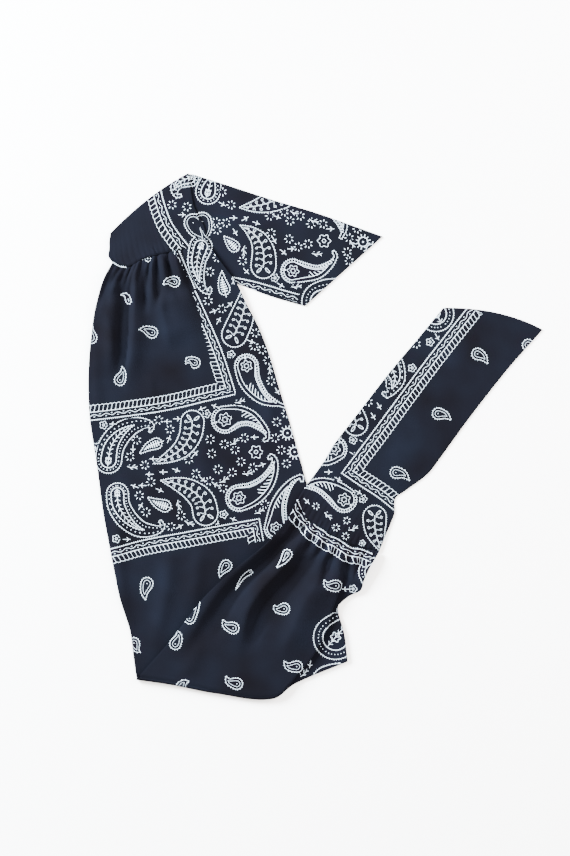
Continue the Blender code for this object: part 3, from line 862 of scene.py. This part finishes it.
# The drawing functions work in millimetres of cloth. A line is drawn with near(): its second value says
# where the line lies and its third is half the line's thickness. A repeating mark is drawn with beat().
def spray(along, aside, side, width):
    """A stem with feathery branches left and right in turn, each with a berry at its end."""
    shifted = along + (aside > 0.0) * 3.0
    step = shifted % 6.0
    ink = side < 0.17
    branch = near(step, scaled(side, 0.55, 1.6), 0.15)
    feather = near(step, scaled(side, -0.9, 4.3), 0.13)
    feather = feather * (side < 1.9)
    branch = branch * (side < width * 0.42)
    ink = either(ink, branch, feather)
    berry_aside = side - width * 0.58
    berry_along = step - 3.2
    berry = near(distance(berry_aside, berry_along), 0.95, 0.16)
    return either(ink, berry)


def paisley_ink(along, aside, kind, radius, length, taper):
    """The ink of a paisley at a place along its spine and towards its hollow side, by its fill."""
    side = abs(aside)
    behind = sums("MINIMUM", along, 0.0)
    share = sums("MAXIMUM", along / length, 0.0)
    share = sums("MINIMUM", share, 1.0)
    width = radius * (1.0 - share ** taper)
    tip = is_kind(kind, "flower") + is_kind(kind, "hooked")
    width = sums("MAXIMUM", width, tip * HOOK_TIP)
    beyond = sums("MAXIMUM", along - length, 0.0)
    reach = distance(behind + beyond, aside)
    depth = width - reach
    turn = math.pi / 2 - sums("ARCTAN2", side, behind * -1.0)
    around = sums("MAXIMUM", along, 0.0) - radius * turn
    rho = distance(along, aside)
    theta = sums("ARCTAN2", aside, along)

    outline = near(depth, 0.0, 0.17)
    teeth = near(depth, -0.48, 0.28) * beat(around, 2.1, 0.28)
    ink = either(outline, teeth)

    gap = scaled(sums("MINIMUM", share * 5.0, 1.0), 1.1, 2.4)
    inner = near(depth, gap, 0.22)
    hollow = (aside > 0.0) * (share < 0.86)
    beaded = either(hollow, along < 0.0)
    band = either(near(depth, 2.4, 0.22), near(depth, 1.2, 0.9) * beat(around, 2.7, 0.18))
    band = band * beaded
    comb = product(depth > gap, beat(along + aside, 3.9, 0.2), share > 0.3, aside < width * 0.1)
    thick = product(hollow, near(depth, 1.3, 1.1), share > 0.55, beat(around, 2.7, 0.34))
    lobes = scaled(sums("COSINE", theta * 6.0), 0.17, 1.0)
    petals = near(rho, product(lobes, radius, 0.43), 0.21)
    heart = near(rho, product(lobes, radius, 0.19), 0.18)
    tick = side + abs(scaled(radius, 0.68, along)) < 0.9
    flower = either(inner, band, comb, thick, petals, heart, tick)
    ink = either(ink, flower * is_kind(kind, "flower"))

    sprays = spray(along, aside, side, width)
    sprays = product(sprays, depth > 1.3, along > -1.5)
    blade_side = scaled(radius, -0.34, side)
    blade_along = scaled(radius, 0.36, along)
    blade_length = (blade_side - blade_along) * 0.24
    blade_width = (blade_side + blade_along) * 0.62
    blades = near(distance(blade_length, blade_width), 0.85, 0.16)
    leaf = either(sprays, blades)
    ink = either(ink, leaf * is_kind(kind, "leaf"))

    inner_share = sums("MINIMUM", share / 0.64, 1.0)
    inner_width = product(radius, 0.58, 1.0 - inner_share ** 1.7)
    inner_depth = inner_width - reach
    inner = near(inner_depth, 0.0, 0.21)
    inner_teeth = near(inner_depth, -0.5, 0.25) * beat(around, 2.6, 0.35)
    inner = either(inner, inner_teeth) * (share < 0.66)
    dots = near(depth + inner_depth, 0.2, 0.7)
    dots = product(dots, beat(around, 3.7, 0.2), depth > 1.0)
    twig = side < 0.2
    leaves = scaled(side, -0.8, along) % 4.4
    leaves = (leaves < 0.55) * (side < 2.4)
    bloom = near(rho, product(lobes, radius, 0.2), 0.3)
    sprays = either(twig, leaves, bloom) * (inner_depth > 1.0)
    hooked = either(inner, dots, sprays)
    ink = either(ink, hooked * is_kind(kind, "hooked"))

    rungs = beat(along, 2.1, 0.36) * (depth > 1.9)
    stem = (side < 0.24) * (share < 0.7)
    ink = either(ink, either(rungs, stem) * is_kind(kind, "drop"))

    inner = near(depth, 2.3, 0.13)
    dot = rho < 0.36
    return either(ink, either(inner, dot) * is_kind(kind, "ditsy"))


def flower_ink(along, aside, kind, radius, count):
    """The ink of the small flowers, birds and sprigs at a place ahead and aside of their middle."""
    side = abs(aside)
    rho = distance(along, aside)
    theta = sums("ARCTAN2", aside, along)
    sector = 2 * math.pi / sums("MAXIMUM", count, 1.0)
    bearing = theta % sector - sector * 0.5
    out = rho * sums("COSINE", bearing)
    across = rho * sums("SINE", bearing)

    from_petal = scaled(radius, -0.72, out)
    petal = distance(from_petal * 1.05, across * 3.0)
    ink = (petal < 1.0) * is_kind(kind, "ring")

    lobes = scaled(sums("COSINE", theta * count), 0.13, 0.8)
    outline = near(rho, lobes * radius, 0.24)
    core = near(rho, radius * 0.24, 0.2)
    ink = either(ink, either(outline, core) * is_kind(kind, "pentagon"))

    disc = near(rho, radius * 0.58, 0.27)
    rays = (abs(across) < 0.3) * near(rho, radius * 0.82, 1.1)
    core = rho < 0.7
    ink = either(ink, either(disc, rays, core) * is_kind(kind, "sun"))

    body = (side < 0.22) * near(along, 0.2, 3.6)
    wings = near(along, scaled(side, -0.6, 1.6), 0.28)
    wings = wings * (side < 2.1)
    ink = either(ink, either(body, wings) * is_kind(kind, "bird"))

    bend = scaled(along * along, 0.05, aside)
    stem = near(bend, 0.5, 0.23) * near(along, 0.0, 4.6)
    shifted = scaled(aside > 0.4, 2.4, along)
    step = shifted % 4.8
    leaves = near(side, scaled(step, 0.8, 0.3), 0.27)
    leaves = product(leaves, side < 2.2, near(along, 0.6, 3.6))
    return either(ink, either(stem, leaves) * is_kind(kind, "sprig"))


def frame_ink(along, inward, kind):
    """The ink of a frame: a toothed line, a wave, a line and a row of small arches, from outside in."""
    outer = near(inward, 0.0, 0.2)
    teeth = near(inward, -0.5, 0.27) * beat(along, 1.9, 0.36)
    ink = either(outer, teeth)
    swing = sums("SINE", along * (2 * math.pi / 10.8))
    wave = near(inward, scaled(swing, 0.9, 3.7), 0.18)
    dots = near(inward, scaled(swing, -1.2, 3.7), 0.25)
    dots = dots * (abs(swing) > 0.955)
    ink = either(ink, wave, dots, near(inward, 7.0, 0.21))
    leaning = scaled(inward, -0.3, along)
    rung = sums("PINGPONG", leaning, 1.95)
    foot = scaled(sums("MAXIMUM", 9.0 - inward, 0.0), 0.17, 0.14)
    rungs = (rung < foot) * near(inward, 10.0, 3.1)
    arch = scaled(sums("SQRT", sums("MAXIMUM", rung - 0.2, 0.0)), 0.7, 12.6)
    ink = either(ink, rungs, near(inward, arch, 0.18))
    return ink * is_kind(kind, "frame")


# Two tones of the navy: a darker, browner painted shade and a bluer painted light, mixed in random
# patches.
NAVY_PAINTED_SHADE = (0.0020, 0.0018, 0.0024, 1.0)
NAVY_PAINTED_LIGHT = (0.0030, 0.0036, 0.0060, 1.0)
WHITE_INK = (0.40, 0.47, 0.54, 1.0)
KNIT_COLUMN = 0.0016        # metres across a column of stitches
KNIT_COURSE = 0.0007        # metres up a row of stitches
PAINTED_LIGHT_PATCH_SCALE = 19.0          # how many patches of painted light and painted shade there are to a metre


def printed_jersey():
    """Fine cotton jersey, dyed navy, with random patches of painted light and painted shade over it, and
    the white print a little sunk into its knit.
    """
    material = bpy.data.materials.new("navy printed jersey")
    material.use_nodes = True
    tree = material.node_tree
    shader = tree.nodes["Principled BSDF"]

    def split(attribute):
        reader = tree.nodes.new("ShaderNodeAttribute")
        reader.attribute_name = attribute
        parts = tree.nodes.new("ShaderNodeSeparateXYZ")
        tree.links.new(reader.outputs["Vector"], parts.inputs[0])
        return [Value(output) for output in parts.outputs]

    along, aside, kind = split("figure_place")
    radius, length, taper = split("figure_form")
    paisley = paisley_ink(along, aside, kind, radius, length, taper)
    paisley = paisley * near(kind, (1 + len(PAISLEYS)) / 2, 2.4)
    flowers = flower_ink(along, aside, kind, radius, length)
    frame_lines = frame_ink(along, aside, kind)
    ink = either(paisley, flowers, frame_lines)

    knit = tree.nodes.new("ShaderNodeUVMap")
    knit.uv_map = "flat_cloth"
    flat = tree.nodes.new("ShaderNodeSeparateXYZ")
    tree.links.new(knit.outputs["UV"], flat.inputs[0])
    width, height = Value(flat.outputs[0]), Value(flat.outputs[1])
    column = sums("SINE", width * (2 * math.pi / KNIT_COLUMN))
    lean = abs(column) * (KNIT_COURSE * 0.6)
    course = sums("SINE", (height + lean) * (2 * math.pi / KNIT_COURSE))
    stitch = abs(column) * scaled(course, 0.3, 0.7)

    light_and_shade_noise = tree.nodes.new("ShaderNodeTexNoise")
    light_and_shade_noise.inputs["Scale"].default_value = PAINTED_LIGHT_PATCH_SCALE
    light_and_shade_noise.inputs["Detail"].default_value = 2.0
    place = tree.nodes.new("ShaderNodeTexCoord")
    tree.links.new(place.outputs["Object"], light_and_shade_noise.inputs["Vector"])

    def mix(factor, first, second):
        node = tree.nodes.new("ShaderNodeMix")
        node.data_type = "RGBA"
        for name, value in (("Factor_Float", factor), ("A_Color", first), ("B_Color", second)):
            socket = next(s for s in node.inputs if s.identifier == name)
            if isinstance(value, Value):
                tree.links.new(value.socket, socket)
            else:
                socket.default_value = value
        return Value(next(s for s in node.outputs if s.identifier == "Result_Color"))

    # Random patches of painted light and painted shade: noise mixes the darker painted shade with the
    # bluer painted light.
    painted_light_patches = scaled(Value(light_and_shade_noise.outputs["Fac"]), 2.0, -0.5)
    navy = mix(painted_light_patches, NAVY_PAINTED_SHADE, NAVY_PAINTED_LIGHT)
    covered = ink * scaled(stitch, 0.12, 0.86)
    tree.links.new(mix(covered, navy, WHITE_INK).socket, shader.inputs["Base Color"])

    bump = tree.nodes.new("ShaderNodeBump")
    bump.inputs["Strength"].default_value = 0.35
    bump.inputs["Distance"].default_value = 0.0002
    tree.links.new(stitch.socket, bump.inputs["Height"])
    tree.links.new(bump.outputs["Normal"], shader.inputs["Normal"])
    shader.inputs["Roughness"].default_value = 0.88
    shader.inputs["Specular IOR Level"].default_value = 0.0
    shader.inputs["Sheen Weight"].default_value = 0.004
    shader.inputs["Sheen Roughness"].default_value = 0.5
    shader.inputs["Sheen Tint"].default_value = (0.55, 0.65, 0.9, 1.0)
    return material


jersey = printed_jersey()

band_mesh = cloth_mesh("head_band", band_rows + IN_PLACE)
turning = LOWER_ROWS + FOLD_STEPS // 2
lay_print(band_mesh, band_rows, ((0, turning, LOWER_PRINT), (turning, len(band_rows) - 1, UPPER_PRINT)))
sewn_piece(band_mesh, jersey, "head_band")

# The folded tie: a narrow tube of the same jersey, sewn onto the first gathered end. It goes up from
# its seam, folds back under itself along a slanting crease, and lies out to the right on the table.
TIE_PUFF = 0.0018           # how far a tie bellies up beside its seam
RISE_SAG_REACH = 0.60
TIE_COLUMNS = 52
RISE_ROWS = 30
TAIL_ROWS = 112

# Along is a share of the stretch's length, lead is how far the right end of the section runs ahead of
# the left one and bow how far its middle does. Edges, leads and bows are shares of TIE_WIDTH, the
# edges from the stretch's middle line.
TieSection = namedtuple("TieSection", "along lead bow left right left_level right_level puff")
TIE_RISE_SECTIONS = (
    TieSection(0.00, 0.00, 0.00, -0.500, 0.500, 1.25, 1.30, 1.00),
    TieSection(0.25, 0.10, 0.00, -0.545, 0.505, 1.25, 1.05, 0.90),
    TieSection(0.60, 0.28, 0.02, -0.540, 0.460, 1.20, 1.03, 0.60),
    TieSection(1.00, 0.49, 0.05, -0.505, 0.475, 1.10, 1.03, 0.00),
)
TIE_TAIL_SECTIONS = (
    TieSection(0.00, 0.64, 0.00, -0.460, 0.460, 0.00, 0.00, 0.00),
    TieSection(0.20, 0.45, 0.00, -0.475, 0.470, 0.00, 0.00, 0.00),
    TieSection(0.50, 0.15, 0.00, -0.515, 0.480, 0.00, 0.00, 0.20),
    TieSection(0.75, 0.30, 0.00, -0.535, 0.505, 0.00, 0.00, 0.30),
    TieSection(1.00, 0.56, 0.00, -0.515, 0.497, 0.00, 0.00, 0.00),
)


def tie_surface(run, sections, length, seam=None, reach=0.0):
    """A tie's middle surface over one run. A sewn end starts along the gathered panel's end."""
    def surface(at, across):
        def value(column):
            return smooth(sections, "along", column, at)

        crown = 1 - (2 * across - 1) ** 2
        width, hang, turned_to, pucker = TIE_WIDTH, 0.0, 1.0, 0.0
        if seam:
            turned_to = ramp(0.0, reach, at)
            width = TIE_WIDTH + (GATHERED_WIDTH - TIE_WIDTH) * (1 - turned_to)
            hang = sag(seam, across) * (1 - turned_to)
            pucker = puckers(at * length, across, phase=2.6)
        along = at * length - hang
        along = along + TIE_WIDTH * (value("lead") * (across - 0.5) + value("bow") * crown)
        edge = value("left") + (value("right") - value("left")) * across
        level = value("left_level") + (value("right_level") - value("left_level")) * across
        height = WALL / 2 + level * LAYER + value("puff") * TIE_PUFF * crown + pucker
        return with_height(run.point(along, width * edge, turned_to), height)

    return surface


rise_surface = tie_surface(RISE, TIE_RISE_SECTIONS, TIE_RISE, "first", RISE_SAG_REACH)
tail_surface = tie_surface(TAIL, TIE_TAIL_SECTIONS, TIE_TAIL)
rise = stretch(rise_surface, RISE_ROWS, TIE_COLUMNS)
tail = stretch(tail_surface, TAIL_ROWS, TIE_COLUMNS)
tail[0, :, :2] = rise[-1, :, :2]
crease = turned(rise[-1], tail[0], -1, FOLD_STEPS)
folded_rows = np.concatenate((rise[:-1], crease, tail[1:]))
FOLDED_TIE_PRINT = (
    (
        (full_side(1, (160, 186), (163, 200), (170, 220), (178, 233), (189, 247)),),
        (FrameSide(1, 6.6, 6.6, (228, 276.5), (250, 281), (266, 285.2), (283, 290.4), (299, 294.8)),),
    ),
    [
        *HEART,
        HOOKED_COLUMN,
        Paisley("hooked", 12.0, 2.0, (208, 192), (212, 178), (217, 165)),
        Paisley("hooked", 8.5, 1.3, (190, 178), (182, 181), (175, 188), (176, 196), (180, 196)),
        Paisley("leaf", 11.5, 1.6, (282, 197), (268, 203), (254, 206.5), (239.5, 207.5)),
        Paisley("leaf", 12.3, 1.8, (263.5, 266), (263.5, 252), (259, 240), (250, 231), (240.5, 225.5)),
        Paisley("drop", 5.3, 1.6, (234, 246.5), (229, 241.5), (224, 236.3)),
        Paisley(
            "flower", 11.7, 1.0,
            (293, 271), (306, 272.5), (318, 272), (329, 265.5), (335.5, 257.5), (334, 252.5),
        ),
        Paisley("flower", 8.0, 1.3, (338, 212), (342, 222), (343.5, 231), (341, 237.5)),
        Paisley("hooked", 20.0, 2.2, (322, 302), (340, 292), (356, 276)),
        *small(
            RING,
            (222, 192), (231, 205), (216, 222), (226, 223), (217, 230), (270, 216), (290, 221), (300, 216),
            (311, 224), (323, 224), (271, 233), (289, 239), (298, 247), (308, 244), (349, 238), (347, 252),
            (357, 229), (349, 261), (172, 205), (187, 207), (284, 212), (242.5, 261),
        ),
        *small(
            BIRD,
            (222, 204, 30), (233, 218, 0), (245, 219, -30), (256, 223, 20), (235, 232, 60), (330, 229, 0),
            (283, 252, 40), (182, 215, 0), (277, 217, 20), (274, 240, 60), (291, 249, 0), (246, 271, 45),
            (280.5, 285, 30),
        ),
        *small(
            SPRIG,
            (317, 254, 0), (352, 243, 60), (244, 251, 90), (295, 213, 15), (314, 221, 15),
            (296.5, 286.5, -10),
        ),
        *small(PENTAGON, (275, 278)),
        *small(STAR, (324, 241)),
        *small(SUN, (363, 242), (371, 249)),
    ],
)
folded_mesh = cloth_mesh("folded_tie", folded_rows + IN_PLACE)
lay_print(folded_mesh, folded_rows, ((0, len(folded_rows) - 1, FOLDED_TIE_PRINT),))
sewn_piece(folded_mesh, jersey, "folded_tie")

# The straight tie: the same narrow tube, sewn onto the second gathered end, and laid out in a line
# with it on the table.
TIE_SAG_REACH = 0.20
TIE_ROWS = 140
STRAIGHT_TIE_SECTIONS = (
    TieSection(0.00, 0.00, 0.00, -0.500, 0.500, 1.35, 0.80, 1.00),
    TieSection(0.06, 0.06, 0.00, -0.520, 0.462, 1.25, 0.40, 0.90),
    TieSection(0.14, 0.12, 0.00, -0.540, 0.420, 0.70, 0.10, 0.70),
    TieSection(0.21, 0.06, 0.00, -0.560, 0.330, 0.25, 0.00, 0.55),
    TieSection(0.25, 0.05, 0.00, -0.575, 0.365, 0.05, 0.00, 0.45),
    TieSection(0.38, 0.08, 0.00, -0.568, 0.465, 0.00, 0.00, 0.30),
    TieSection(0.60, 0.10, 0.00, -0.555, 0.460, 0.00, 0.00, 0.15),
    TieSection(0.80, 0.25, 0.02, -0.525, 0.475, 0.00, 0.00, 0.10),
    TieSection(1.00, 0.46, 0.08, -0.500, 0.530, 0.00, 0.00, 0.00),
)
straight_surface = tie_surface(TIE, STRAIGHT_TIE_SECTIONS, TIE_LENGTH, "second", TIE_SAG_REACH)
straight_rows = stretch(straight_surface, TIE_ROWS, TIE_COLUMNS)
STRAIGHT_TIE_FRAME = (
    full_side(-1, (468, 307), (466, 310), (428, 358), (394.5, 403), (370, 436), (342, 473)),
    full_side(-1, (342, 473), (361, 486), (378, 497), (393, 509), (402, 516)),
)
STRAIGHT_TIE_PRINT = (
    (STRAIGHT_TIE_FRAME,),
    [
        Paisley("hooked", 17.5, 2.0, (436, 314), (430, 303), (434, 294)),
        Paisley("hooked", 12.5, 1.5, (391, 366), (395, 378), (392, 388), (387, 395.5), (383.5, 393)),
        Paisley("leaf", 11.5, 1.8, (356, 424), (352, 408), (345, 395)),
        Paisley("flower", 12.5, 1.4, (334, 449), (326, 458), (315, 464)),
        Paisley("flower", 12.5, 1.6, (344, 499.5), (333, 491), (321, 485.5), (309, 485), (300, 487)),
        Paisley("leaf", 11.5, 2.0, (374.5, 517), (375, 530), (378, 541), (381, 552)),
        *strewn(
            (5.5, (477.4, 353.9), (483, 357), (487.4, 363.3)),
            (5.5, (438, 413.6), (445, 415), (450.6, 419.7)),
            (5.5, (395.8, 472.5), (403, 474), (409.1, 480)),
            (5.5, (528, 345), (534, 350), (538, 356)),
        ),
        *small(RING, (368, 402), (416, 344)),
        *small(LITTLE_RING, (316, 506), (346.5, 520.5), (336, 527.5), (345.5, 536)),
        *small(LITTLE_SPRIG, (328, 515.5, 40), (353, 528.5, -25)),
        *small(
            BIRD,
            (437, 337, 60), (379, 406, 60), (373, 416, 60), (363, 442, 30), (353, 454, 30), (358, 492, 30),
            (328, 472, 0), (338, 479, 30), (306.5, 501, 45),
        ),
        *small(PENTAGON, (430, 342), (412, 368), (353, 440), (363, 499)),
        *small(LITTLE_PENTAGON, (362, 543)),
    ],
)
straight_mesh = cloth_mesh("straight_tie", straight_rows + IN_PLACE)
lay_print(straight_mesh, straight_rows, ((0, len(straight_rows) - 1, STRAIGHT_TIE_PRINT),))
sewn_piece(straight_mesh, jersey, "straight_tie")

# The table, lights and camera: a plain white table in soft daylight from a large window on the left
# and a weaker one opposite, looked at from straight above.
PHOTO_MIDDLE = (285.0, 428.0)
PHOTO_HEIGHT = 856
LENS = 85.0
SENSOR = 24.0


def photo_place(x, y):
    """The place on the table of a pixel of the photograph."""
    right, down = x - FIRST_SEAM_MIDDLE[0], y - FIRST_SEAM_MIDDLE[1]
    return Vector((right * PIXEL, -down * PIXEL, 0.0)) + Vector(IN_PLACE)


def matt_white():
    """A smooth, matt white table top."""
    material = bpy.data.materials.new("matt white table")
    material.use_nodes = True
    shader = material.node_tree.nodes["Principled BSDF"]
    shader.inputs["Base Color"].default_value = (0.95, 0.95, 0.95, 1.0)
    shader.inputs["Roughness"].default_value = 0.7
    return material


table_mesh = bpy.data.meshes.new("table")
top = bmesh.new()
bmesh.ops.create_grid(top, x_segments=2, y_segments=2, size=2.5)
top.to_mesh(table_mesh)
top.free()
table_mesh.materials.append(matt_white())
table = bpy.data.objects.new("table", table_mesh)
bpy.context.scene.collection.objects.link(table)


def soft_light(name, place, size, watts, color):
    """A large square lamp that faces the middle of the cloth."""
    lamp = bpy.data.lights.new(name, "AREA")
    lamp.shape = "SQUARE"
    lamp.size = size
    lamp.energy = watts
    lamp.color = color
    holder = bpy.data.objects.new(name, lamp)
    holder.location = place
    holder.rotation_euler = (-Vector(place)).to_track_quat("-Z", "Y").to_euler()
    bpy.context.scene.collection.objects.link(holder)


soft_light("window", (-1.5, 0.9, 0.9), size=0.8, watts=600.0, color=(0.86, 0.94, 1.0))
soft_light("wall", (0.95, 0.45, 0.75), size=0.9, watts=62.0, color=(1.0, 0.94, 0.92))

world = bpy.data.worlds.new("daylight")
world.use_nodes = True
world.node_tree.nodes["Background"].inputs["Color"].default_value = (1.0, 0.96, 0.92, 1.0)
world.node_tree.nodes["Background"].inputs["Strength"].default_value = 3.7
bpy.context.scene.world = world

camera_data = bpy.data.cameras.new("camera")
camera_data.lens = LENS
camera_data.sensor_width = SENSOR
camera = bpy.data.objects.new("camera", camera_data)
camera.location = photo_place(*PHOTO_MIDDLE) + Vector((0, 0, LENS / SENSOR * PHOTO_HEIGHT * PIXEL))
bpy.context.scene.collection.objects.link(camera)
bpy.context.scene.camera = camera
